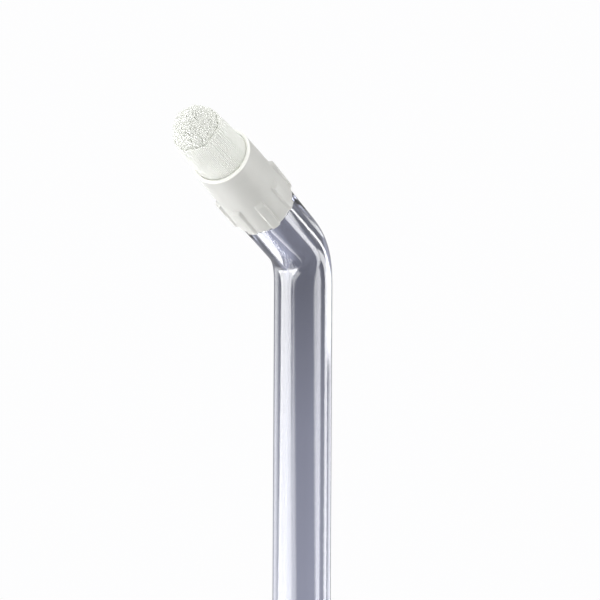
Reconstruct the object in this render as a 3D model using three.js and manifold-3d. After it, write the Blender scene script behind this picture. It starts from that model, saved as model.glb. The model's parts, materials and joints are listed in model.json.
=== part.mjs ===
// Brush-ended saliva ejector tip: a clear thick-walled tube with a tight elbow, a ribbed push-on
// collar that turns and pulls off, and a domed bundle of bristle tufts round an open suction channel.
//
// Millimetres, +Z up. The origin is the centre of the footprint on the plane of the tube's cut end.
// The stem rises along +Z and the leg leans toward -Y. Lengths on the leg count from the corner
// where the stem's axis and the leg's axis cross.

import * as THREE from "three";
import { mergeVertices } from "three/addons/utils/BufferGeometryUtils.js";
import Module from "manifold-3d";

const wasm = await Module();
wasm.setup();

// Tube
const TUBE_R = 3.25;
const BORE_R = 1.7;
const CORNER_Z = 96;
const STEM_Y = 11.46; // sets the stem back so that the footprint's centre is the origin
const BEND = THREE.MathUtils.degToRad(65);
const BEND_R = 4.6; // radius of the elbow's centre line
const END_ROUND = 0.25; // rounding of the cut end's outer edge

// Spigot: the stepped end of the leg that the collar pushes onto
const SHOULDER = 11; // corner to the tube's shoulder
const SPIGOT_R = 2.6;
const SPIGOT_LENGTH = 4.7;
const SPIGOT_LEAD = 0.3;
const GROOVE_MIDDLE = 2.6; // shoulder to the middle of the ring's groove
const GROOVE_WIDTH = 0.64;
const GROOVE_R = 2.12;

// Seal ring, a flattened O-section
const RING_INNER_R = 2.15;
const RING_OUTER_R = 2.63;
const RING_WIDTH = 0.54;

// Collar
const COLLAR_BASE = 11.05;
const COLLAR_LENGTH = 10.1;
const COLLAR_BASE_R = 3.46;
const COLLAR_LIP_R = 3.14;
const SOCKET_R = 2.65;
const SOCKET_DEPTH = 5;
const WEB_THICKNESS = 0.8; // the wall between the socket and the bristle pocket
const PORT_R = 1.7;
const POCKET_R = 2.78;
const LIP_ROUND = 0.17;
const BASE_ROUND = 0.18;

// Grip ribs on the collar's lower half
const RIB_COUNT = 8;
const RIB_TURN = THREE.MathUtils.degToRad(-4.4); // how far the collar is turned on the spigot
const RIB_LENGTH = 4.6;
const RIB_OUTER_R = 3.68;
const RIB_WIDTH = 1.15;
const RIB_RAMP = 0.4;
const RIB_TAPER = 0.06; // how much lower a rib stands at its ramp than at its base
const RIB_BEVEL = 0.14;

// Bristle block: the disc that the filaments are fused into
const BLOCK_THICKNESS = 3;
const BLOCK_R = 2.73;
const BLOCK_PORT_R = 0.4;

// Bristle tufts, in rings round the suction channel
const TUFT_RINGS = [
  { name: "inner", count: 6, radius: 0.78, turn: 0 },
  { name: "middle", count: 12, radius: 1.52, turn: 0.5 },
  { name: "outer", count: 18, radius: 2.27, turn: 0 },
];
const TUFT_ROOT_R = 0.34;
const TUFT_TIP_R = 0.27;
const CROWN_HEIGHT = 0.135; // the blunt point on a tuft's tip, in two slopes
const CROWN_BREAK = { radius: 0.16, drop: 0.027 };
const TUFT_GAP = 0.1; // root to block
const TUFT_HEIGHT = 7.6; // lip plane to the top of the dome
const DOME_DROP = 1.35; // how much shorter the outer ring is trimmed
const TRIM_STEP = 0.16; // every other tuft is a little shorter
const OUTER_LEAN = THREE.MathUtils.degToRad(4.5); // inward lean of the outer ring

const FIT_GAP = 0.05;
const ROUND_STEPS = 48; // facets round the tube and the collar
const TUFT_STEPS = 10;
const ELBOW_STEPS = 14;
const RING_STEPS = 10; // facets round the seal ring's section
const TUFT_DIGITS = 2;
const MERGE_WITHIN = 1e-4;

// Finishes

const finish = (color, roughness, extra = {}) =>
  new THREE.MeshStandardMaterial({ color, roughness, metalness: 0, ...extra });

const clearPlastic = () => finish(0xdfe1ea, 0.05, { transparent: true, opacity: 0.4 });
const collarPlastic = () => finish(0xe4e4df, 0.4);
const sealRubber = () => finish(0xcfd2d2, 0.6);
const blockPlastic = () => finish(0xe9e9e4, 0.5);
const bristleNylon = () => finish(0xe6e8e1, 0.35);

function named(name, geometry, material) {
  const mesh = new THREE.Mesh(geometry, material);
  mesh.name = name;
  return mesh;
}

// Geometry helpers. A profile is a list of [radius, height] pairs round the Z axis, in order up
// the outside and back down the inside.

function turned(profile, steps, closed = true) {
  const points = profile.map(([r, h]) => new THREE.Vector2(r, h));
  if (closed) points.push(points[0].clone());
  return new THREE.LatheGeometry(points, steps).rotateX(Math.PI / 2);
}

// Points of a quarter round between two walls, centred on [r, h], from angle to angle.
function rounding(r, h, radius, from, to, steps = 3) {
  return Array.from({ length: steps + 1 }, (_, i) => {
    const angle = from + ((to - from) * i) / steps;
    return [r + radius * Math.cos(angle), h + radius * Math.sin(angle)];
  });
}

function solidOf(geometry) {
  const bare = geometry.clone();
  bare.deleteAttribute("normal");
  bare.deleteAttribute("uv");
  const merged = mergeVertices(bare, MERGE_WITHIN);
  return new wasm.Manifold(
    new wasm.Mesh({
      numProp: 3,
      vertProperties: new Float32Array(merged.attributes.position.array),
      triVerts: new Uint32Array(merged.index.array),
    }),
  );
}

function geometryOf(solid) {
  const mesh = solid.getMesh();
  const geometry = new THREE.BufferGeometry();
  geometry.setAttribute("position", new THREE.BufferAttribute(mesh.vertProperties, 3));
  geometry.setIndex(new THREE.BufferAttribute(mesh.triVerts, 1));
  geometry.computeVertexNormals();
  return geometry;
}

// The tube's centre line: a straight stem, a circular elbow and a straight leg. Its stations are
// distances along the line from the cut end.
const TANGENT = BEND_R * Math.tan(BEND / 2);
const ELBOW_START = CORNER_Z - TANGENT;
const ELBOW_END = ELBOW_START + BEND_R * BEND;

const stationOnLeg = (fromCorner) => ELBOW_END + fromCorner - TANGENT;

// The angle the line has turned through at a station, and the point it has reached.
function centreLine(station) {
  const angle = THREE.MathUtils.clamp((station - ELBOW_START) / BEND_R, 0, BEND);
  const point = new THREE.Vector3(
    0,
    -BEND_R * (1 - Math.cos(angle)),
    Math.min(station, ELBOW_START) + BEND_R * Math.sin(angle),
  );
  const past = Math.max(station - ELBOW_END, 0);
  point.y -= past * Math.sin(BEND);
  point.z += past * Math.cos(BEND);
  return { angle, point };
}

// Bends a solid turned about Z so that its axis follows the centre line.
function bent(geometry) {
  const position = geometry.attributes.position;
  const vertex = new THREE.Vector3();
  for (let i = 0; i < position.count; i++) {
    vertex.fromBufferAttribute(position, i);
    const { angle, point } = centreLine(vertex.z);
    vertex.setZ(0).applyAxisAngle(new THREE.Vector3(1, 0, 0), angle).add(point);
    position.setXYZ(i, vertex.x, vertex.y, vertex.z);
  }
  geometry.computeVertexNormals();
  return geometry;
}

function tubeGeometry() {
  const elbow = Array.from(
    { length: ELBOW_STEPS + 1 },
    (_, i) => ELBOW_START + ((ELBOW_END - ELBOW_START) * i) / ELBOW_STEPS,
  );
  const shoulder = stationOnLeg(SHOULDER);
  const tip = shoulder + SPIGOT_LENGTH;
  const groove = shoulder + GROOVE_MIDDLE;
  const outside = [
    ...rounding(TUBE_R - END_ROUND, END_ROUND, END_ROUND, -Math.PI / 2, 0),
    ...elbow.map((station) => [TUBE_R, station]),
    ...rounding(TUBE_R - END_ROUND, shoulder - END_ROUND, END_ROUND, 0, Math.PI / 2),
    [SPIGOT_R, shoulder],
    [SPIGOT_R, groove - GROOVE_WIDTH / 2],
    [GROOVE_R, groove - GROOVE_WIDTH / 2],
    [GROOVE_R, groove + GROOVE_WIDTH / 2],
    [SPIGOT_R, groove + GROOVE_WIDTH / 2],
    [SPIGOT_R, tip - SPIGOT_LEAD],
    [SPIGOT_R - SPIGOT_LEAD, tip],
  ];
  const bore = [tip, ...elbow.toReversed(), 0].map((station) => [BORE_R, station]);
  return bent(turned([...outside, ...bore], ROUND_STEPS));
}

// Everything below is built on the head's own Z axis, which is the leg's axis, with its origin at
// the corner.

function sealRingGeometry() {
  const middle = (RING_INNER_R + RING_OUTER_R) / 2;
  const half = (RING_OUTER_R - RING_INNER_R) / 2;
  const centre = SHOULDER + GROOVE_MIDDLE;
  const section = Array.from({ length: RING_STEPS }, (_, i) => {
    const angle = (2 * Math.PI * i) / RING_STEPS;
    return [
      middle + half * Math.cos(angle),
      centre + (RING_WIDTH / 2) * Math.sin(angle),
    ];
  });
  return turned(section, ROUND_STEPS);
}

function collarBody() {
  const lip = COLLAR_BASE + COLLAR_LENGTH;
  const web = COLLAR_BASE + SOCKET_DEPTH;
  const right = Math.PI / 2;
  return turned(
    [
      ...rounding(COLLAR_BASE_R - BASE_ROUND, COLLAR_BASE + BASE_ROUND, BASE_ROUND, -right, 0),
      ...rounding(COLLAR_LIP_R - LIP_ROUND, lip - LIP_ROUND, LIP_ROUND, 0, right),
      ...rounding(POCKET_R + LIP_ROUND, lip - LIP_ROUND, LIP_ROUND, right, 2 * right),
      [POCKET_R, web + WEB_THICKNESS],
      [PORT_R, web + WEB_THICKNESS],
      [PORT_R, web],
      [SOCKET_R, web],
      [SOCKET_R, COLLAR_BASE],
    ],
    ROUND_STEPS,
  );
}

// One rib: its side outline, extruded across its width, with rounded long edges.
function ribGeometry() {
  const inset = (SOCKET_R + COLLAR_BASE_R) / 2;
  const outline = new THREE.Shape([
    new THREE.Vector2(inset, 0),
    new THREE.Vector2(RIB_OUTER_R - BASE_ROUND, 0),
    new THREE.Vector2(RIB_OUTER_R, BASE_ROUND),
    new THREE.Vector2(RIB_OUTER_R - RIB_TAPER, RIB_LENGTH - RIB_RAMP),
    new THREE.Vector2(COLLAR_BASE_R - BASE_ROUND, RIB_LENGTH),
    new THREE.Vector2(inset, RIB_LENGTH),
  ]);
  const rib = new THREE.ExtrudeGeometry(outline, {
    depth: RIB_WIDTH - 2 * RIB_BEVEL,
    bevelEnabled: true,
    bevelThickness: RIB_BEVEL,
    bevelSize: RIB_BEVEL,
    bevelOffset: -RIB_BEVEL,
    bevelSegments: 2,
    steps: 1,
  });
  rib.translate(0, 0, RIB_BEVEL - RIB_WIDTH / 2);
  return rib.rotateX(Math.PI / 2).translate(0, 0, COLLAR_BASE);
}

function collarGeometry() {
  let collar = solidOf(collarBody());
  for (let i = 0; i < RIB_COUNT; i++) {
    const turn = RIB_TURN + (2 * Math.PI * i) / RIB_COUNT;
    collar = collar.add(solidOf(ribGeometry().rotateZ(turn)));
  }
  return geometryOf(collar);
}

const BLOCK_BASE = COLLAR_BASE + SOCKET_DEPTH + WEB_THICKNESS + FIT_GAP;
const BLOCK_TOP = BLOCK_BASE + BLOCK_THICKNESS;

function blockGeometry() {
  return turned(
    [
      [BLOCK_R, BLOCK_BASE],
      [BLOCK_R, BLOCK_TOP],
      [BLOCK_PORT_R, BLOCK_TOP],
      [BLOCK_PORT_R, BLOCK_BASE],
    ],
    ROUND_STEPS,
  );
}

// A tuft on its own axis, with its hinge point in the lip plane at height 0.
function tuftGeometry(height) {
  const root = BLOCK_TOP + TUFT_GAP - (COLLAR_BASE + COLLAR_LENGTH);
  return turned(
    [
      [0, root],
      [TUFT_ROOT_R, root],
      [TUFT_ROOT_R, 0],
      [TUFT_TIP_R, height - CROWN_HEIGHT],
      [CROWN_BREAK.radius, height - CROWN_BREAK.drop],
      [0, height],
    ],
    TUFT_STEPS,
    false,
  );
}

// The tufts of one ring. Each leans inward, in proportion to how far out it stands.
function tuftRing(ring) {
  const outermost = TUFT_RINGS.at(-1).radius;
  const share = ring.radius / outermost;
  const tufts = [];
  for (let i = 0; i < ring.count; i++) {
    const trim = DOME_DROP * share ** 2 + TRIM_STEP * (i % 2);
    const number = String(i + 1).padStart(TUFT_DIGITS, "0");
    const name = `bristle_tuft_${ring.name}_${number}`;
    const tuft = named(name, tuftGeometry(TUFT_HEIGHT - trim), bristleNylon());
    tuft.position.set(ring.radius, 0, COLLAR_BASE + COLLAR_LENGTH);
    tuft.rotation.y = -OUTER_LEAN * share;
    const spoke = new THREE.Group();
    spoke.rotation.z = (2 * Math.PI * (i + ring.turn)) / ring.count;
    spoke.add(tuft);
    tufts.push(spoke);
  }
  return tufts;
}

function headGroup() {
  const head = new THREE.Group();
  head.position.z = CORNER_Z;
  head.rotation.x = BEND;
  head.add(named("seal_ring", sealRingGeometry(), sealRubber()));
  head.add(named("grip_collar", collarGeometry(), collarPlastic()));
  head.add(named("bristle_block", blockGeometry(), blockPlastic()));
  for (const ring of TUFT_RINGS) head.add(...tuftRing(ring));
  return head;
}

const ejectorTip = new THREE.Group();
ejectorTip.position.y = STEM_Y;
ejectorTip.add(named("clear_tube", tubeGeometry(), clearPlastic()), headGroup());

export default ejectorTip;
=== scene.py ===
"""Looks of the brush-ended saliva ejector tip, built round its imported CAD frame.

The stem's axis stands at STEM_Y and meets the leg's axis at CORNER. Everything on the leg is
built on the head's own axes (Z along the leg, heights from the corner) and placed by TO_ROW.
Lengths given in MM are millimetres; everything else is in metres.
"""

import json
import math

import bpy
import numpy as np
from mathutils import Matrix, Vector


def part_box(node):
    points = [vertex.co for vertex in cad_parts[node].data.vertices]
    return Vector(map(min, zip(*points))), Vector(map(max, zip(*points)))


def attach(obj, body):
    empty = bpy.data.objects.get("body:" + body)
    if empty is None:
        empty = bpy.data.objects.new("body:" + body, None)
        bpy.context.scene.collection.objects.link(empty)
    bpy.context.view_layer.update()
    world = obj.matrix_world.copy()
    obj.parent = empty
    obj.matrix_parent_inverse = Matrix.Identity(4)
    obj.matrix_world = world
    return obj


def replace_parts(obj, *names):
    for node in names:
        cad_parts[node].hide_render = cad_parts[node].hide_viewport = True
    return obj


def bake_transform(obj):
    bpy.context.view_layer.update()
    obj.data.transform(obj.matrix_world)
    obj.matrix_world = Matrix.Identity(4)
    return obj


MM = 0.001
SEED = 11

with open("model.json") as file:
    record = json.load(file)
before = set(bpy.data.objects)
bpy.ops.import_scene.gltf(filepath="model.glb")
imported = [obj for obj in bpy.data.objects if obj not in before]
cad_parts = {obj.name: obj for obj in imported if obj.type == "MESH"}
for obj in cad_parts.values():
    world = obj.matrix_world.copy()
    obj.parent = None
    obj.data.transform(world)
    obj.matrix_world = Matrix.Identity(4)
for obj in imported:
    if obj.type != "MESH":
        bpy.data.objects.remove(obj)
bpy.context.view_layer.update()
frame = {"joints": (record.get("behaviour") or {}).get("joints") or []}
joints = {joint["name"]: joint for joint in frame["joints"]}

# Where the tube and its leg stand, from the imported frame
TUBE_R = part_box("clear_tube")[1].x
STEM_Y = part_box("clear_tube")[1].y - TUBE_R
LEG = Vector(joints["head_twist"]["axis"]).normalized()
BEND = math.atan2(-LEG.y, LEG.z)
ON_LEG = Vector(joints["head_twist"]["pos_m"])
CORNER = ON_LEG - LEG * ((ON_LEG.y - STEM_Y) / LEG.y)
TO_ROW = Matrix.Translation(CORNER) @ Matrix.Rotation(BEND, 4, "X")
TO_HEAD = TO_ROW.inverted()
LIP = (TO_HEAD @ Vector(joints["bristle_splay"]["pos_m"])).z
GROOVE = (TO_HEAD @ ON_LEG).z

# Tube
BORE_R = 1.7 * MM
PEAK_CURVATURE = 250.0  # of the elbow's centre line, per metre
END_ROUND = 0.25 * MM
SHOULDER = GROOVE - 2.6 * MM
SHOULDER_ROUND = 0.25 * MM
SPIGOT_R = 2.6 * MM
SPIGOT_LENGTH = 4.7 * MM
SPIGOT_LEAD = 0.3 * MM
GROOVE_WIDTH = 0.64 * MM
GROOVE_R = 2.12 * MM
TUBE_STEPS = 160
ELBOW_RINGS = 72
STEM_RINGS = 24
CENTRE_LINE_STEPS = 1201
EDGE = 0.04 * MM  # how far the spigot's and the bore's edges are broken

TURN_STEPS = 96  # of the seal ring, the bristle block and the floor

# Seal ring
RING_INNER_R = 2.15 * MM
RING_OUTER_R = 2.63 * MM
RING_WIDTH = 0.54 * MM

# Collar
COLLAR_BASE = SHOULDER + 0.05 * MM
COLLAR_BASE_R = 3.46 * MM
COLLAR_LIP_R = 3.14 * MM
SOCKET_R = 2.65 * MM
SOCKET_DEPTH = 5.0 * MM
WEB_THICKNESS = 0.8 * MM
PORT_R = 1.7 * MM
POCKET_R = 2.78 * MM
LIP_ROUND = 0.17 * MM
BASE_ROUND = 0.22 * MM
RIB_COUNT = 8
RIB_TURN = math.radians(-4.4)
RIB_LENGTH = 4.6 * MM
RIB_R = 3.68 * MM
RIB_HALF_WIDTH = 0.6 * MM
RIB_FLANK = 0.2 * MM
RIB_RAMP = 0.42 * MM
RIB_CROWN = 0.12  # how much of its rise a rib has lost at its long edges

# Bristle block
BLOCK_BASE = COLLAR_BASE + SOCKET_DEPTH + WEB_THICKNESS + 0.05 * MM
BLOCK_TOP = BLOCK_BASE + 3.0 * MM
BLOCK_R = 2.73 * MM
BLOCK_PORT_R = 0.4 * MM
BLOCK_ROUND = 0.12 * MM

# Filaments
BUNDLE_R = 2.70 * MM
CHANNEL_R = 0.42 * MM
FILAMENT_R = 0.079 * MM
FILAMENT_PITCH = 0.158 * MM
FILAMENT_SIDES = 6
LEAN = 30.0  # share of its radius that a filament loses per metre above the lip
BUNDLE_HEIGHT = 7.6 * MM
HEART_R = 1.2 * MM
CLOSING = 0.8  # how far the filaments round the channel close over it
DOME = [(0.0, 7.4), (0.9, 7.25), (1.6, 6.95), (2.05, 6.6), (2.35, 6.1), (2.6, 5.2)]  # mm
BULGE = 0.32 * MM  # how far the bundle stands out on its loose side, at half its height
BULGE_SIDE = math.radians(222)
JITTER = 0.12  # of a filament's place, in pitches
DOME_DROP = 0.1  # mm
TRIM_SPREAD = 0.05  # mm
SWAY = 0.035 * MM
SHAFT_SHARES = np.array([0.0, 0.16, 0.3, 0.45, 0.6, 0.75, 0.88, 1.0])
TIP_WIDTHS = [0.92, 0.6]  # of a filament's rounded tip, in its radius


# Meshes


def add_mesh(name, vertices, faces, material, sharp=None):
    mesh = bpy.data.meshes.new(name)
    mesh.from_pydata([tuple(v) for v in vertices], [], faces)
    mesh.materials.append(material)
    mesh.shade_smooth()
    if sharp:
        mesh.set_sharp_from_angle(angle=sharp)
    made = bpy.data.objects.new(name, mesh)
    bpy.context.scene.collection.objects.link(made)
    return made


def ring_faces(rows, columns):
    """Quads of a grid whose columns close round the axis and whose last row joins its first."""
    faces = []
    for j in range(rows):
        for i in range(columns):
            a, b = j * columns, (j + 1) % rows * columns
            k = (i + 1) % columns
            faces.append((a + i, a + k, b + k, b + i))
    return faces


def arc(r, z, radius, start, end, steps=8):
    """Points of a rounding centred on (r, z), from angle to angle in degrees."""
    angles = np.radians(np.linspace(start, end, steps + 1))
    return [(r + radius * math.cos(a), z + radius * math.sin(a)) for a in angles]


def turned(profile, steps):
    """Vertices and faces of a closed (radius, height) profile turned about Z."""
    angles = np.linspace(0, 2 * math.pi, steps, endpoint=False)
    vertices = [
        (r * math.cos(a), r * math.sin(a), z) for r, z in profile for a in angles
    ]
    return vertices, ring_faces(len(profile), steps)


def on_head(vertices):
    return [TO_ROW @ Vector(v) for v in vertices]


# Tube


def elbow_line():
    """The elbow's turn and its centre line, whose curvature rises and falls as a cosine.

    Returns the line's half length, its tangent length from the corner, and the turn and
    the point at each of a row of even steps along it."""
    half = BEND / PEAK_CURVATURE
    s = np.linspace(-half, half, CENTRE_LINE_STEPS)
    curvature = PEAK_CURVATURE * (1 + np.cos(np.pi * s / half)) / 2
    step = s[1] - s[0]

    def summed(f):
        return np.concatenate([[0], np.cumsum((f[1:] + f[:-1]) / 2) * step])

    turn = summed(curvature)
    y, z = -summed(np.sin(turn)), summed(np.cos(turn))
    tangent = -y[-1] / math.sin(BEND)
    return s / half * tangent, turn, STEM_Y + y, CORNER.z - tangent + z


def bent_along_tube(vertices):
    """Vertices turned about Z, whose heights are distances past the corner, bent to the tube."""
    at, turn, y, z = elbow_line()
    bent = []
    for px, py, along in vertices:
        a = float(np.interp(along, at, turn))
        cy, cz = float(np.interp(along, at, y)), float(np.interp(along, at, z))
        past = max(along - at[-1], 0.0)
        short = min(along - at[0], 0.0)
        bent.append(
            (
                px,
                cy + py * math.cos(a) - past * math.sin(BEND),
                cz + py * math.sin(a) + past * math.cos(BEND) + short,
            )
        )
    return bent


def tube_profile():
    foot = -CORNER.z
    at = elbow_line()[0]
    elbow = list(np.linspace(at[0], at[-1], ELBOW_RINGS))
    tip = SHOULDER + SPIGOT_LENGTH
    low, high = GROOVE - GROOVE_WIDTH / 2, GROOVE + GROOVE_WIDTH / 2
    outside = [
        (BORE_R + END_ROUND, foot),
        *arc(TUBE_R - END_ROUND, foot + END_ROUND, END_ROUND, -90, 0),
        *[(TUBE_R, z) for z in np.linspace(foot + 2 * MM, at[0] - 1 * MM, STEM_RINGS)],
        *[(TUBE_R, z) for z in elbow],
        *arc(TUBE_R - SHOULDER_ROUND, SHOULDER - SHOULDER_ROUND, SHOULDER_ROUND, 0, 90),
        (SPIGOT_R + EDGE, SHOULDER),
        (SPIGOT_R, SHOULDER + EDGE),
        (SPIGOT_R, low - EDGE),
        (SPIGOT_R - EDGE, low),
        (GROOVE_R, low),
        (GROOVE_R, high),
        (SPIGOT_R - EDGE, high),
        (SPIGOT_R, high + EDGE),
        (SPIGOT_R, tip - SPIGOT_LEAD),
        (SPIGOT_R - SPIGOT_LEAD, tip),
    ]
    inside = [
        (BORE_R + EDGE, tip),
        (BORE_R, tip - EDGE),
        *[(BORE_R, z) for z in reversed(elbow)],
        *[(BORE_R, z) for z in np.linspace(at[0] - 1 * MM, foot + 2 * MM, STEM_RINGS)],
        *arc(BORE_R + END_ROUND, foot + END_ROUND, END_ROUND, 180, 270),
    ]
    return outside + inside[:-1]


def make_tube(material):
    vertices, faces = turned(tube_profile(), TUBE_STEPS)
    tube = add_mesh("tube", bent_along_tube(vertices), faces, material, math.radians(40))
    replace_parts(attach(tube, "tube"), "clear_tube")


# Seal ring and bristle block


def make_seal_ring(material):
    middle = (RING_INNER_R + RING_OUTER_R) / 2
    half = (RING_OUTER_R - RING_INNER_R) / 2
    angles = np.linspace(0, 2 * math.pi, 24, endpoint=False)
    section = [
        (middle + half * math.cos(a), GROOVE + RING_WIDTH / 2 * math.sin(a))
        for a in angles
    ]
    vertices, faces = turned(section, TURN_STEPS)
    ring = add_mesh("silicone_ring", on_head(vertices), faces, material)
    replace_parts(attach(ring, "seal_ring"), "seal_ring")


def make_block(material):
    b, r, top = BLOCK_ROUND, BLOCK_R, BLOCK_TOP
    profile = [
        *arc(r - b, BLOCK_BASE + b, b, -90, 0),
        *arc(r - b, top - b, b, 0, 90),
        *arc(BLOCK_PORT_R + b, top - b, b, 90, 180),
        *arc(BLOCK_PORT_R + b, BLOCK_BASE + b, b, 180, 270),
    ]
    vertices, faces = turned(profile, TURN_STEPS)
    block = add_mesh("bristle_base", on_head(vertices), faces, material)
    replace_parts(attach(block, "head"), "bristle_block")


# Collar


def smooth(t):
    t = np.clip(t, 0, 1)
    return t * t * (3 - 2 * t)


def collar_angles():
    """Angles round the collar, close together where the ribs' flanks rise."""
    pitch = 2 * math.pi / RIB_COUNT
    inner = (RIB_HALF_WIDTH - RIB_FLANK) / RIB_R
    outer = RIB_HALF_WIDTH / RIB_R
    half = np.concatenate(
        [
            np.linspace(0, inner, 7)[:-1],
            np.linspace(inner, outer, 11)[:-1],
            np.linspace(outer, pitch / 2, 9),
        ]
    )
    one = np.concatenate([-half[::-1], half[1:-1]])
    return np.concatenate([RIB_TURN + pitch * i + one for i in range(RIB_COUNT)])


def rib_shape(angles):
    """The share of a rib's rise at each angle."""
    pitch = 2 * math.pi / RIB_COUNT
    off = (angles - RIB_TURN + pitch / 2) % pitch - pitch / 2
    across = np.abs(off) * RIB_R
    crown = 1 - RIB_CROWN * np.clip(across / RIB_HALF_WIDTH, 0, 1) ** 2
    return smooth((RIB_HALF_WIDTH - across) / RIB_FLANK) * crown


def collar_rows():
    """Rows of (radius, height, how far a rib stands proud there), round the closed profile."""
    web = COLLAR_BASE + SOCKET_DEPTH
    slope = (COLLAR_LIP_R - COLLAR_BASE_R) / (LIP - COLLAR_BASE)

    def cone(z):
        return COLLAR_BASE_R + slope * (z - COLLAR_BASE)

    def proud(z):
        ramp = smooth((COLLAR_BASE + RIB_LENGTH - z) / RIB_RAMP)
        return float((RIB_R - cone(z)) * ramp)

    rise = RIB_R - COLLAR_BASE_R
    top = COLLAR_BASE + RIB_LENGTH
    heights = np.concatenate(
        [
            np.linspace(COLLAR_BASE + BASE_ROUND, top - RIB_RAMP, 14)[1:],
            np.linspace(top - RIB_RAMP, top, 12)[1:],
            np.linspace(top, LIP - LIP_ROUND, 18)[1:-1],
        ]
    )
    base = arc(COLLAR_BASE_R - BASE_ROUND, COLLAR_BASE + BASE_ROUND, BASE_ROUND, -90, 0)
    lip = arc(COLLAR_LIP_R - LIP_ROUND, LIP - LIP_ROUND, LIP_ROUND, 0, 90)
    inner_lip = arc(POCKET_R + LIP_ROUND, LIP - LIP_ROUND, LIP_ROUND, 90, 180)
    floor = web + WEB_THICKNESS
    inside = [
        *inner_lip,
        *[(POCKET_R, z) for z in np.linspace(LIP - 2 * LIP_ROUND, floor, 8)],
        (PORT_R, floor),
        (PORT_R, web),
        (SOCKET_R, web),
        *[(SOCKET_R, z) for z in np.linspace(web, COLLAR_BASE, 8)[1:]],
    ]
    return [
        *[(r, z, rise) for r, z in base],
        *[(cone(z), z, proud(z)) for z in heights],
        *[(r, z, 0.0) for r, z in lip],
        *[(r, z, 0.0) for r, z in inside],
    ]


def make_collar(material):
    angles = collar_angles()
    shape = rib_shape(angles)
    rows = collar_rows()
    vertices = []
    for r, z, proud in rows:
        radius = r + proud * shape
        vertices += zip(radius * np.cos(angles), radius * np.sin(angles), [z] * len(angles))
    collar = add_mesh(
        "ribbed_collar",
        on_head(vertices),
        ring_faces(len(rows), len(angles)),
        material,
        math.radians(50),
    )
    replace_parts(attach(collar, "head"), "grip_collar")


# Bristles


def filament_spots(rng):
    """Where the filaments stand: an even outer circle round a loose hexagonal grid."""
    n = int(2 * BUNDLE_R / FILAMENT_PITCH) + 2
    i, j = np.meshgrid(np.arange(-n, n), np.arange(-n, n))
    x = FILAMENT_PITCH * (i + 0.5 * (j % 2))
    y = FILAMENT_PITCH * math.sqrt(0.75) * j
    grid = np.stack([x.ravel(), y.ravel()], 1)
    grid += rng.uniform(-JITTER, JITTER, grid.shape) * FILAMENT_PITCH
    r = np.hypot(*grid.T)
    grid = grid[(r > CHANNEL_R) & (r < BUNDLE_R - 0.8 * FILAMENT_PITCH)]
    count = int(2 * math.pi * BUNDLE_R / FILAMENT_PITCH)
    a = 2 * math.pi * np.arange(count) / count
    rim = BUNDLE_R * np.stack([np.cos(a), np.sin(a)], 1)
    return np.concatenate([rim, grid])


def trim_waves(x, y):
    """Low waves in the dome's trim, in millimetres."""
    a, b = x / MM, y / MM
    return (
        0.08 * np.sin(2.3 * a + 0.7)
        + 0.07 * np.sin(2.9 * b - 1.1)
        + 0.04 * np.sin(4.1 * (a + b))
    )


def filament_mesh(spots, rng):
    """Vertices, faces and tones of a bunch of filaments, each a rod with a rounded tip."""
    count, sides = len(spots), FILAMENT_SIDES
    r = np.hypot(*spots.T)
    dome = np.interp(r / MM, *zip(*DOME)) + trim_waves(*spots.T) - DOME_DROP
    top = (dome - TRIM_SPREAD * rng.random(count) ** 2) * MM
    root = BLOCK_TOP - LIP
    shaft = root + (top[:, None] - FILAMENT_R - root) * SHAFT_SHARES
    height = np.concatenate(
        [shaft, top[:, None] - 0.35 * FILAMENT_R, top[:, None]], axis=1
    )
    width = np.array([1.0] * len(SHAFT_SHARES) + TIP_WIDTHS) * FILAMENT_R
    above = np.clip(height, 0, None)
    heart = CLOSING * np.clip(1 - r / HEART_R, 0, 1)[:, None]
    keep = (1 - LEAN * above) * (1 - heart * (above / BUNDLE_HEIGHT) ** 2)
    sway = rng.normal(0, SWAY, (count, 2))
    bow = (above / BUNDLE_HEIGHT) ** 2
    side = np.array([math.cos(BULGE_SIDE), math.sin(BULGE_SIDE)])
    loose = BULGE * smooth((spots @ side / BUNDLE_R + 1) / 2)[:, None]
    puff = loose * np.sin(math.pi * np.clip(above / BUNDLE_HEIGHT, 0, 1)) ** 1.5
    cx = spots[:, :1] * keep + sway[:, :1] * bow + side[0] * puff
    cy = spots[:, 1:] * keep + sway[:, 1:] * bow + side[1] * puff
    turn = rng.uniform(0, math.pi, count)
    a = turn[:, None, None] + 2 * math.pi * np.arange(sides) / sides
    x = cx[:, :, None] + width[None, :, None] * np.cos(a)
    y = cy[:, :, None] + width[None, :, None] * np.sin(a)
    z = np.broadcast_to((LIP + height)[:, :, None], x.shape)
    vertices = np.stack([x, y, z], -1).reshape(-1, 3)
    rows = len(width)
    rod = []
    for j in range(rows - 1):
        for i in range(sides):
            a, b, k = j * sides, (j + 1) * sides, (i + 1) % sides
            rod.append((a + i, a + k, b + k, b + i))
    rod.append(tuple(range(sides))[::-1])
    rod.append(tuple(range((rows - 1) * sides, rows * sides)))
    faces = [tuple(k * rows * sides + v for v in f) for k in range(count) for f in rod]
    tones = np.repeat(rng.random(count), rows * sides)
    return vertices, faces, tones


def make_bristles(material):
    rng = np.random.default_rng(SEED)
    spots = filament_spots(rng)
    splays = [j for j in frame["joints"] if j["child"].startswith("tuft_")]
    hinges = [TO_HEAD @ Vector(j["pos_m"]) for j in splays]
    centres = np.array([h[:2] for h in hinges])
    nearest = np.argmin(
        np.linalg.norm(spots[:, None] - centres[None], axis=2), axis=1
    )
    for k, joint in enumerate(splays):
        vertices, faces, tones = filament_mesh(spots[nearest == k], rng)
        body = joint["child"]
        tuft = add_mesh(body.replace("tuft", "bristles"), on_head(vertices), faces, material)
        attribute = tuft.data.attributes.new("tone", "FLOAT", "POINT")
        attribute.data.foreach_set("value", tones.astype(np.float32))
        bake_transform(tuft)
        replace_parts(tuft, "bristle_" + body)


# Materials


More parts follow.
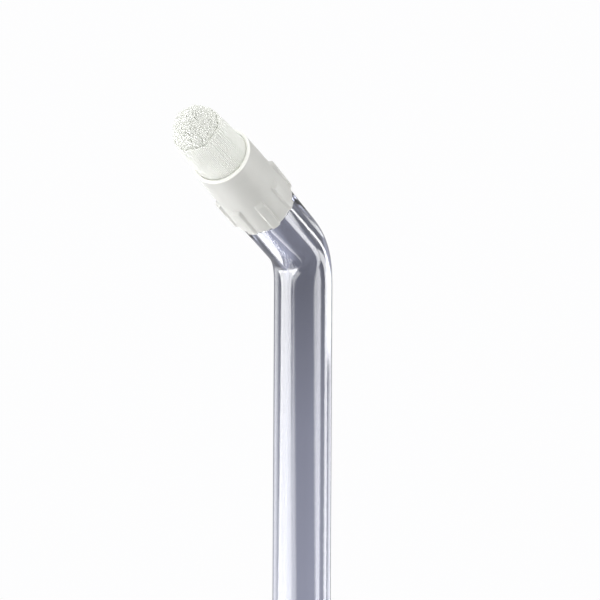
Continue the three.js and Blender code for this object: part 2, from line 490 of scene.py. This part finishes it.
class Nodes:
    """Short calls for building the node tree of a material or a world."""

    def __init__(self, owner, output):
        owner.use_nodes = True
        self.tree = owner.node_tree
        self.tree.nodes.clear()
        self.output = self.tree.nodes.new("ShaderNodeOutput" + output)

    def put(self, socket, value):
        if isinstance(value, bpy.types.NodeSocket):
            self.tree.links.new(value, socket)
        else:
            socket.default_value = value

    def add(self, kind, inputs=None, output=0, **settings):
        node = self.tree.nodes.new("ShaderNode" + kind)
        for key, value in settings.items():
            setattr(node, key, value)
        for socket, value in (inputs or {}).items():
            self.put(node.inputs[socket], value)
        return node.outputs[output]

    def math(self, operation, a, b=0.0):
        return self.add("Math", {0: a, 1: b}, operation=operation)

    def dot(self, a, b):
        return self.add("VectorMath", {0: a, 1: b}, output=1, operation="DOT_PRODUCT")

    def total(self, values):
        result = values[0]
        for value in values[1:]:
            result = self.math("ADD", result, value)
        return result

    def product(self, values):
        result = values[0]
        for value in values[1:]:
            result = self.math("MULTIPLY", result, value)
        return result

    def window(self, value, low, high):
        """0 below low, 1 above high, smooth between; falling if low is above high."""
        return self.remap(value, low, high, 0.0, 1.0, "SMOOTHSTEP")

    def remap(self, value, low, high, to_low, to_high, kind="LINEAR"):
        return self.add(
            "MapRange",
            {0: value, 1: low, 2: high, 3: to_low, 4: to_high},
            interpolation_type=kind,
        )

    def mix(self, share, a, b):
        return self.add(
            "Mix", {0: share, 6: a, 7: b}, output=2, data_type="RGBA"
        )

    def noise(self, vector, scale, detail=3.0, roughness=0.5):
        return self.add(
            "TexNoise",
            {"Vector": vector, "Scale": scale, "Detail": detail, "Roughness": roughness},
        )

    def along_leg(self, stretch=(1.0, 1.0, 1.0)):
        """Object coordinates on the head's axes, from the corner, scaled by stretch."""
        moved = self.add(
            "Mapping",
            {
                "Vector": self.add("TexCoord", output=3),
                "Location": tuple(CORNER),
                "Rotation": (BEND, 0.0, 0.0),
            },
            vector_type="TEXTURE",
        )
        return self.add("Mapping", {"Vector": moved, "Scale": stretch})

    def bump(self, height, distance, strength=1.0):
        return self.add(
            "Bump", {"Height": height, "Distance": distance, "Strength": strength}
        )

    def end(self, shader):
        self.tree.links.new(shader, self.output.inputs["Surface"])


def new_material(name):
    material = bpy.data.materials.new(name)
    return material, Nodes(material, "Material")


def clear_plastic():
    """Polished clear styrene: faintly lavender, with slow ripples from the mould."""
    material, n = new_material("clear_plastic")
    place = n.add("TexCoord", output=3)
    ripple = n.noise(place, 180.0, 1.0)
    haze = n.noise(place, 900.0, 4.0)
    shader = n.add(
        "BsdfPrincipled",
        {
            "Base Color": n.mix(haze, (0.93, 0.935, 0.975, 1), (0.96, 0.965, 0.99, 1)),
            "Roughness": n.remap(haze, 0.3, 0.7, 0.004, 0.02),
            "IOR": 1.49,
            "Transmission Weight": 1.0,
            "Normal": n.bump(ripple, 0.012 * MM, 0.25),
        },
    )
    n.end(shader)
    return material


def collar_plastic():
    """Satin, slightly translucent off-white moulding with a fine matt grain. Its colour holds
    painted light: the body is painted a darker grey than the white plastic really is, as painted
    shade, and a band over the lip is painted near white, as a painted highlight.
    """
    material, n = new_material("collar_plastic")
    place = n.along_leg()
    height = n.add("SeparateXYZ", {0: place}, output=2)
    cloud = n.noise(place, 260.0, 3.0)
    grain = n.noise(place, 9000.0, 2.0)
    # Painted highlight: from a little below the lip and over its rounding, the colour is painted
    # near white where the lip catches the light.
    lit = n.window(height, LIP - 0.32 * MM, LIP - 0.12 * MM)
    # Painted shade: both greys are darker than the white plastic really is, to show it shaded;
    # the cloudy change between them is the plastic's own.
    tone = n.mix(cloud, (0.50, 0.50, 0.482, 1), (0.58, 0.58, 0.562, 1))
    shader = n.add(
        "BsdfPrincipled",
        {
            # Painted highlight near white on the lip band, over the painted-shade body colour
            # elsewhere.
            "Base Color": n.mix(lit, tone, (0.93, 0.93, 0.88, 1)),
            "Roughness": n.remap(cloud, 0.3, 0.7, 0.50, 0.60),
            "IOR": 1.5,
            "Specular IOR Level": 0.25,
            "Subsurface Weight": 0.35,
            "Subsurface Radius": (1.0, 0.98, 0.9),
            "Subsurface Scale": 0.6 * MM,
            "Normal": n.bump(grain, 0.004 * MM, 0.5),
        },
    )
    n.end(shader)
    return material


def block_plastic():
    material, n = new_material("block_plastic")
    place = n.along_leg()
    cloud = n.noise(place, 700.0, 4.0)
    shader = n.add(
        "BsdfPrincipled",
        {
            "Base Color": n.mix(cloud, (0.74, 0.74, 0.71, 1), (0.84, 0.84, 0.81, 1)),
            "Roughness": n.remap(cloud, 0.3, 0.7, 0.42, 0.58),
            "Normal": n.bump(cloud, 0.02 * MM, 0.4),
        },
    )
    n.end(shader)
    return material


def seal_silicone():
    material, n = new_material("seal_silicone")
    place = n.along_leg()
    dust = n.noise(place, 1800.0, 4.0)
    shader = n.add(
        "BsdfPrincipled",
        {
            "Base Color": n.mix(dust, (0.62, 0.65, 0.66, 1), (0.74, 0.76, 0.76, 1)),
            "Roughness": n.remap(dust, 0.3, 0.7, 0.45, 0.65),
            "Subsurface Weight": 0.2,
            "Subsurface Scale": 0.3 * MM,
            "Normal": n.bump(dust, 0.01 * MM, 0.4),
        },
    )
    n.end(shader)
    return material


def bristle_nylon():
    """White nylon filaments, each a little lighter or darker than the next."""
    material, n = new_material("bristle_nylon")
    streak = n.noise(n.along_leg((1.0, 1.0, 0.05)), 1500.0, 2.0)
    tone = n.add("Attribute", output=2, attribute_name="tone")
    mixed = n.math("MULTIPLY", n.math("ADD", tone, streak), 0.5)
    color = n.mix(mixed, (0.955, 0.965, 0.93, 1), (0.985, 0.99, 0.965, 1))
    surface = n.add(
        "BsdfPrincipled",
        {
            "Base Color": color,
            "Roughness": n.remap(streak, 0.3, 0.7, 0.40, 0.55),
            "IOR": 1.53,
        },
    )
    through = n.add("BsdfTranslucent", {"Color": color})
    n.end(n.add("MixShader", {0: 0.25, 1: surface, 2: through}))
    return material


# Studio

# Softboxes round the camera, seen only in first reflections. Each has a radiance and windows
# (what, low, high): what is az or el, the direction's azimuth and elevation in degrees from the
# way the camera looks, or a vector to take the direction's dot product with.
PANELS = [
    (14.0, [
        ((-0.720, 0.278, 0.636), 0.84, 0.74),
        ((-0.857, -0.440, 0.267), 0.40, 0.52),
        ((-0.160, 0.452, -0.878), -0.62, -0.28),
    ]),
    (7.5, [
        ((0.939, -0.101, -0.327), -0.44, -0.33),
        ((0.760, -0.465, -0.454), 0.60, 0.45),
        ((-0.662, -0.748, 0.050), 0.28, 0.44),
    ]),
    (2.8, [("az", -76, -56), ("az", -22, -48), ("el", -46, -36)]),
    (2.5, [("az", 22, 34), ("az", 86, 83), ("el", -3.5, -2), ("el", 2.6, 1.0)]),
    (8.5, [("az", 28, 68), ("az", 86, 83), ("el", -3.5, -2), ("el", 2.6, 1.0)]),
    (2.2, [("az", 20, 28), ("az", 44, 36), ("el", 8.5, 9.5), ("el", 12.5, 11.5)]),
    (8.5, [("az", 64, 70), ("az", 86, 83), ("el", -18, -15), ("el", -2, -3.5)]),
    (2.5, [("az", 22, 34), ("az", 60, 54), ("el", -18, -15), ("el", -2, -3.5)]),
    (8.5, [("az", 101, 112), ((-0.867, -0.493, -0.080), -0.47, -0.60)]),
    (8.5, [
        ("az", 112, 101),
        ("az", 50, 60),
        ("el", -15.5, -19.0),
        ((-0.867, -0.493, -0.080), -0.50, -0.56),
    ]),
]
ROOM = 0.32  # what the reflections see between the softboxes
SEEN_THROUGH = (0.124, 0.128, 0.155, 1.0)
CAMERA_WHITE = (0.985, 0.985, 0.99, 1.0)
PANEL_WHITE = (1.0, 1.0, 1.0, 1.0)
SOFT_WHITE = (1.0, 1.0, 0.99, 1.0)  # what the matt surfaces are lit by, strongest from SOFT_UP
SOFT_UP = (-0.45, -0.35, 0.82)
KEY_PLACE = (-0.11, -0.09, 0.19)
KEY_SIZE = 0.12
KEY_POWER = 0.035


def make_world():
    world = bpy.data.worlds.new("studio")
    bpy.context.scene.world = world
    n = Nodes(world, "World")
    direction = n.add("TexCoord")
    seen = n.add(
        "VectorTransform",
        {0: direction},
        vector_type="VECTOR",
        convert_from="WORLD",
        convert_to="CAMERA",
    )
    x, y, z = (n.add("SeparateXYZ", {0: seen}, output=k) for k in range(3))
    axes = {
        "az": n.math("DEGREES", n.math("ARCTAN2", x, z)),
        "el": n.math("DEGREES", n.math("ARCSINE", y)),
    }

    def source(what):
        if isinstance(what, str):
            return axes[what]
        return n.dot(seen, Vector(what).normalized())

    lights = [
        n.product([radiance, *[n.window(source(w), low, high) for w, low, high in windows]])
        for radiance, windows in PANELS
    ]
    panels = n.add("Background", {0: PANEL_WHITE, 1: n.total([ROOM, *lights])})
    sideways = n.window(n.math("ABSOLUTE", x), 0.5, 1.0)
    ray = n.tree.nodes.new("ShaderNodeLightPath").outputs
    below = n.product([2.0, n.window(axes["el"], -30, -48), ray["Glossy Depth"]])
    near = n.remap(axes["el"], 1.5, -5.5, 1.0, 2.05)
    far = n.remap(axes["el"], -5.5, -12.0, 0.0, 0.5)
    lower = n.math("ADD", near, far)
    level = n.total([n.product([lower, n.remap(sideways, 0.0, 1.0, 1.0, 1.5)]), below])
    through = n.add("Background", {0: SEEN_THROUGH, 1: level})
    up = n.dot(direction, SOFT_UP)
    soft = n.add("Background", {0: SOFT_WHITE, 1: n.remap(up, -1.0, 1.0, 0.86, 1.26)})
    white = n.add("Background", {0: CAMERA_WHITE})

    first = n.math("LESS_THAN", ray["Transmission Depth"], 0.5)
    mirrored = n.math("MULTIPLY", ray["Is Glossy Ray"], first)
    shader = n.add("MixShader", {0: mirrored, 1: through, 2: panels})
    shader = n.add("MixShader", {0: ray["Is Diffuse Ray"], 1: shader, 2: soft})
    n.end(n.add("MixShader", {0: ray["Is Camera Ray"], 1: shader, 2: white}))
    world.cycles.sampling_method = "NONE"


FLOOR_R = 0.24
FLOOR_RINGS = 24


def make_floor():
    rings, steps = FLOOR_RINGS, TURN_STEPS
    radii = FLOOR_R * np.linspace(0, 1, rings + 1)[1:]
    angles = np.linspace(0, 2 * math.pi, steps, endpoint=False)
    vertices = [(0.0, 0.0, 0.0)]
    vertices += [(r * math.cos(a), r * math.sin(a), 0.0) for r in radii for a in angles]
    faces = [(0, 1 + i, 1 + (i + 1) % steps) for i in range(steps)]
    for j in range(rings - 1):
        for i in range(steps):
            a, b, k = 1 + j * steps, 1 + (j + 1) * steps, (i + 1) % steps
            faces.append((a + i, b + i, b + k, a + k))
    material, n = new_material("floor_card")
    place = n.add("TexCoord", output=3)
    distance = n.add("VectorMath", {0: place}, output=1, operation="LENGTH")
    tone = n.noise(place, 60.0, 2.0)
    surface = n.add(
        "BsdfDiffuse", {0: n.mix(tone, (0.72, 0.72, 0.73, 1), (0.75, 0.75, 0.757, 1))}
    )
    clear = n.add("BsdfTransparent")
    share = n.window(distance, FLOOR_R, 0.25 * FLOOR_R)
    n.end(n.add("MixShader", {0: share, 1: clear, 2: surface}))
    floor = add_mesh("floor", vertices, faces, material)
    floor.visible_glossy = floor.visible_transmission = floor.visible_diffuse = False


def make_lamp(name, place, aim, size, power):
    """A soft lamp that lights matt surfaces and stays out of the reflections."""
    lamp = bpy.data.lights.new(name, "AREA")
    lamp.shape, lamp.size, lamp.energy = "DISK", size, power
    made = bpy.data.objects.new(name, lamp)
    made.location = place
    made.rotation_euler = (Vector(aim) - Vector(place)).to_track_quat("-Z", "Y").to_euler()
    made.visible_glossy = made.visible_transmission = made.visible_camera = False
    bpy.context.scene.collection.objects.link(made)


CAMERA_TURN = math.radians(25.642)
CAMERA_ROLL = math.radians(0.298)
CAMERA_DISTANCE = 0.150
CAMERA_SHIFT = -0.348 * MM
CAMERA_DROP = 5.32 * MM
HALF_PICTURE = 300  # pixels
PIXELS_PER_MM = 8.97  # at the corner's distance, on a picture 600 pixels wide


def make_camera():
    right = Vector((math.cos(CAMERA_TURN), math.sin(CAMERA_TURN), 0))
    back = Vector((math.sin(CAMERA_TURN), -math.cos(CAMERA_TURN), 0))
    place = CORNER + back * CAMERA_DISTANCE + right * CAMERA_SHIFT
    place.z -= CAMERA_DROP
    data = bpy.data.cameras.new("camera")
    data.lens_unit = "FOV"
    data.angle = 2 * math.atan(HALF_PICTURE / (PIXELS_PER_MM * CAMERA_DISTANCE / MM))
    data.clip_start = 0.001
    camera = bpy.data.objects.new("camera", data)
    axes = Matrix((right, Vector((0, 0, 1)), back)).transposed().to_4x4()
    turn = axes @ Matrix.Rotation(CAMERA_ROLL, 4, "Z")
    camera.matrix_world = Matrix.Translation(place) @ turn
    bpy.context.scene.collection.objects.link(camera)
    bpy.context.scene.camera = camera


make_tube(clear_plastic())
make_seal_ring(seal_silicone())
make_block(block_plastic())
make_collar(collar_plastic())
make_bristles(bristle_nylon())

make_world()
make_floor()
make_lamp("soft_key", KEY_PLACE, CORNER, KEY_SIZE, KEY_POWER)
make_camera()

scene = bpy.context.scene
scene.view_settings.view_transform = "Standard"
scene.cycles.max_bounces = 16
scene.cycles.diffuse_bounces = 16
scene.cycles.glossy_bounces = 8
scene.cycles.transmission_bounces = 16
scene.cycles.transparent_max_bounces = 16
